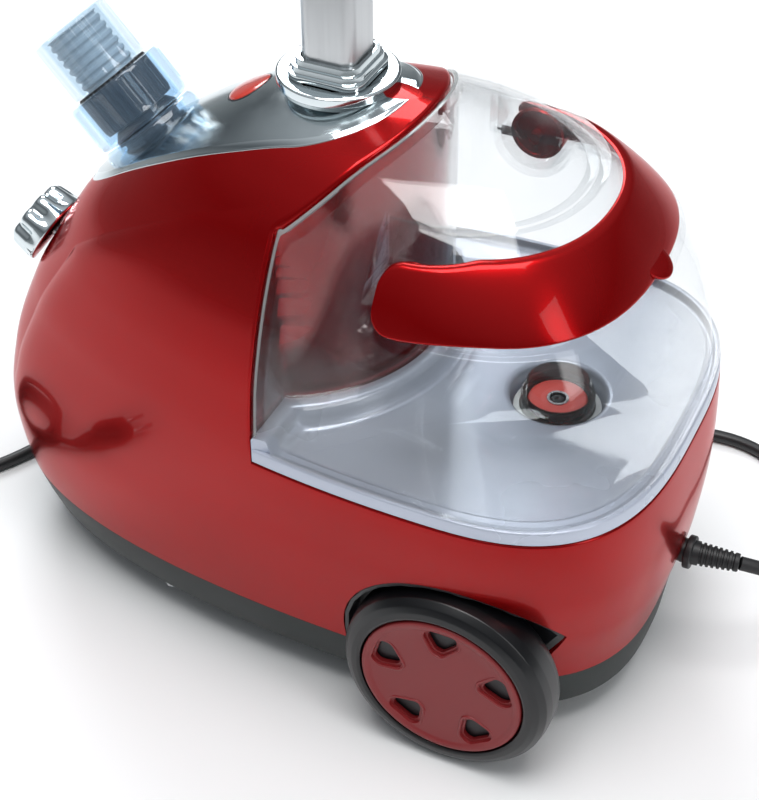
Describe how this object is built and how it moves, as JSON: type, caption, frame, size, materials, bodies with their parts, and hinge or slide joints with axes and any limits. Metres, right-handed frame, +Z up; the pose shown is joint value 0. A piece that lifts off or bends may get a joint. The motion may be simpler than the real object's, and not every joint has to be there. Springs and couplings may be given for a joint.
{
  "type": "garment steamer base",
  "caption": "Floor base of a garment steamer: wheeled domed body, lift-off water tank with swing handle, steam knob, hose union, pole stub and mains lead.",
  "frame": {"origin": "centre of the footprint, on the floor plane the wheels and casters stand on", "axes": "+Z up; -X towards the nose with the steam knob, +X towards the tank end; Y across, -Y is called left"},
  "size_m": [0.5499, 0.3617, 0.352],
  "materials": {
    "red_gloss": "high gloss moulded plastic with a metallic red tint",
    "hubcap_red": "satin red moulded plastic",
    "base_dark": "matt dark grey-green moulded plastic",
    "wheel_black": "smooth hard black plastic",
    "black_plastic": "matt black",
    "black_rubber": "soft black rubber",
    "chrome": "bright and satin plated",
    "aluminium": "brushed",
    "steel": "plain steel",
    "tray_silver": "silver-blue moulded plastic",
    "clear_tank": "clear moulded plastic",
    "clear_sleeve": "clear ribbed plastic",
    "clear_blue": "clear blue moulded plastic",
    "hose_grey": "ribbed grey hose wall",
    "white_plastic": "plain off-white",
    "silicone": "translucent silicone hose",
    "seal_red": "silicone seal",
    "lens_red": "tinted lens"
  },
  "bodies": {
    "base": {"body_shell": "red_gloss", "base_pan": "base_dark", "arch_liner_left": "wheel_black", "arch_liner_right": "wheel_black", "chrome_panel": "chrome", "pole_flange": "chrome", "pole_collar": "chrome", "pole_tube": "aluminium", "pole_socket": "black_plastic", "indicator_lens": "lens_red", "indicator_lamp": "white_plastic", "rotary_switch": "black_plastic", "outlet_spigot": "chrome", "hose_seat": "clear_blue", "nut_insert": "black_plastic", "hose_sleeve": "clear_sleeve", "hose_tail": "hose_grey", "tank_tray": "tray_silver", "axle_clip_left": "steel", "axle_clip_right": "steel", "rear_axle": "steel", "boiler": "aluminium", "boiler_bracket": "steel", "thermostat": "steel", "steam_tube": "silicone", "water_pump": "white_plastic", "feed_hose": "silicone", "boiler_hose": "silicone", "terminal_block": "white_plastic", "base_screw_1": "steel", "base_screw_2": "steel", "base_screw_3": "steel", "base_screw_4": "steel", "strain_relief": "black_rubber", "cord_tube": "black_rubber", "cord_coil": "black_rubber", "mains_plug": "black_rubber"},
    "tank": {"water_tank": "clear_tank", "tank_cap": "white_plastic", "cap_seal": "seal_red", "valve_spring": "steel", "handle_pin_left": "steel", "handle_pin_right": "steel"},
    "handle": {"tank_handle": "red_gloss"},
    "plunger": {"valve_plunger": "black_plastic"},
    "knob": {"steam_knob": "chrome", "knob_shaft": "steel"},
    "nut": {"hose_nut": "clear_blue"},
    "wheel_left": {"rear_wheel_left": "wheel_black", "hubcap_left": "hubcap_red"},
    "wheel_right": {"rear_wheel_right": "wheel_black", "hubcap_right": "hubcap_red"},
    "caster_left": {"caster_fork_left": "base_dark", "caster_pin_left": "steel"},
    "caster_left_wheel": {"caster_wheel_left": "black_rubber"},
    "caster_right": {"caster_fork_right": "base_dark", "caster_pin_right": "steel"},
    "caster_right_wheel": {"caster_wheel_right": "black_rubber"}
  },
  "joints": [
    {"name": "tank_lift", "type": "slide", "parent": "base", "child": "tank", "axis": [0, 0, 1], "range_m": [0, 0.08]},
    {"name": "handle_swing", "type": "hinge", "parent": "tank", "child": "handle", "pos_m": [0.075, 0, 0.2445], "axis": [0, -1, 0], "range_deg": [0, 70]},
    {"name": "valve_push", "type": "slide", "parent": "tank", "child": "plunger", "axis": [0, 0, 1], "range_m": [0, 0.004], "stiffness_N_per_m": 200, "deforming": ["valve_spring"]},
    {"name": "knob_turn", "type": "hinge", "parent": "base", "child": "knob", "pos_m": [-0.1574, 0, 0.165], "axis": [-0.848, 0, 0.5299], "range_deg": [0, 270]},
    {"name": "nut_turn", "type": "hinge", "parent": "base", "child": "nut", "pos_m": [-0.0934, 0, 0.2417], "axis": [-0.6691, 0, 0.7431], "range_deg": [0, 360]},
    {"name": "wheel_left_spin", "type": "hinge", "parent": "base", "child": "wheel_left", "pos_m": [0.106, 0, 0.052], "axis": [0, 1, 0], "continuous": true},
    {"name": "wheel_right_spin", "type": "hinge", "parent": "base", "child": "wheel_right", "pos_m": [0.106, 0, 0.052], "axis": [0, 1, 0], "continuous": true},
    {"name": "caster_left_swivel", "type": "hinge", "parent": "base", "child": "caster_left", "pos_m": [-0.114, -0.037, 0.02], "axis": [0, 0, 1], "continuous": true},
    {"name": "caster_left_spin", "type": "hinge", "parent": "caster_left", "child": "caster_left_wheel", "pos_m": [-0.1205, -0.037, 0.0125], "axis": [0, 1, 0], "continuous": true},
    {"name": "caster_right_swivel", "type": "hinge", "parent": "base", "child": "caster_right", "pos_m": [-0.114, 0.037, 0.02], "axis": [0, 0, 1], "continuous": true},
    {"name": "caster_right_spin", "type": "hinge", "parent": "caster_right", "child": "caster_right_wheel", "pos_m": [-0.1205, 0.037, 0.0125], "axis": [0, 1, 0], "continuous": true}
  ]
}
